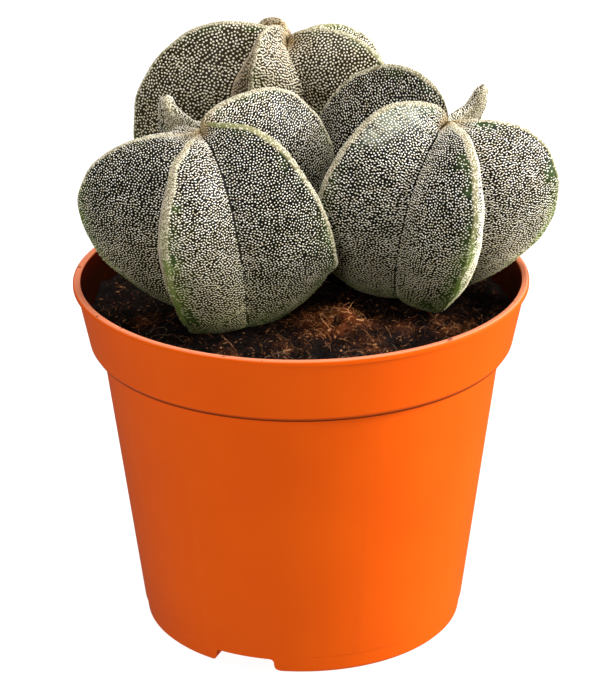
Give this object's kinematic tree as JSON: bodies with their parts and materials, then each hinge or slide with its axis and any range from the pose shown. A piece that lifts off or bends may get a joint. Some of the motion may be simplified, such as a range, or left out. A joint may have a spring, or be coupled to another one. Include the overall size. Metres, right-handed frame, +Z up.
{
  "type": "potted cactus",
  "caption": "Plastic nursery pot of peat holding ribbed bishop's cap cacti with white-flecked skin, for a shelf or a windowsill.",
  "frame": {"origin": "centre of the pot's underside, on the surface that it stands on", "axes": "+Z up along the pot's axis, -Y towards the front of the picture, +X to its right"},
  "size_m": [0.1279, 0.12, 0.1553],
  "materials": {
    "pot_plastic": "satin moulded polypropylene",
    "peat": "loose fibrous peat",
    "cactus_skin": "dark green skin covered in white woolly flecks"
  },
  "bodies": {
    "root": {"pot": "pot_plastic", "soil": "peat", "cactus_left": "cactus_skin", "cactus_right": "cactus_skin", "cactus_back": "cactus_skin"}
  },
  "joints": []
}
